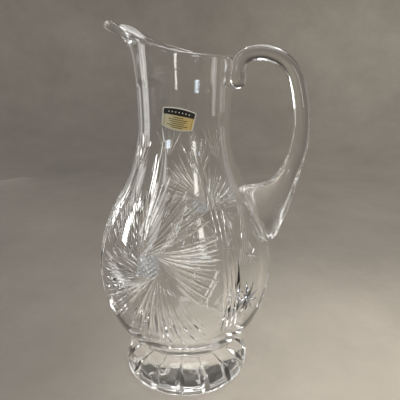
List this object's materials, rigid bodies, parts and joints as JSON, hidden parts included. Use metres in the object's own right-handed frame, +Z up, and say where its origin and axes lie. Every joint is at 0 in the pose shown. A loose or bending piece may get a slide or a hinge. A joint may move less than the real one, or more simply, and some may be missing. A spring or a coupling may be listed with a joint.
{
  "type": "pitcher",
  "caption": "Footed cut crystal pitcher with a pear-shaped bowl, pouring lip, drawn loop handle, grooved foot and pinwheel ornament.",
  "frame": {"origin": "centre of the foot's flat resting face", "axes": "+Z up, +X towards the handle, -X towards the pouring lip"},
  "size_m": [0.1607, 0.138, 0.2769],
  "materials": {
    "crystal": "polished",
    "foil": "gold foil with a dark header band"
  },
  "bodies": {
    "root": {"vessel": "crystal", "foot": "crystal", "handle": "crystal", "foil_label": "foil"}
  },
  "joints": []
}
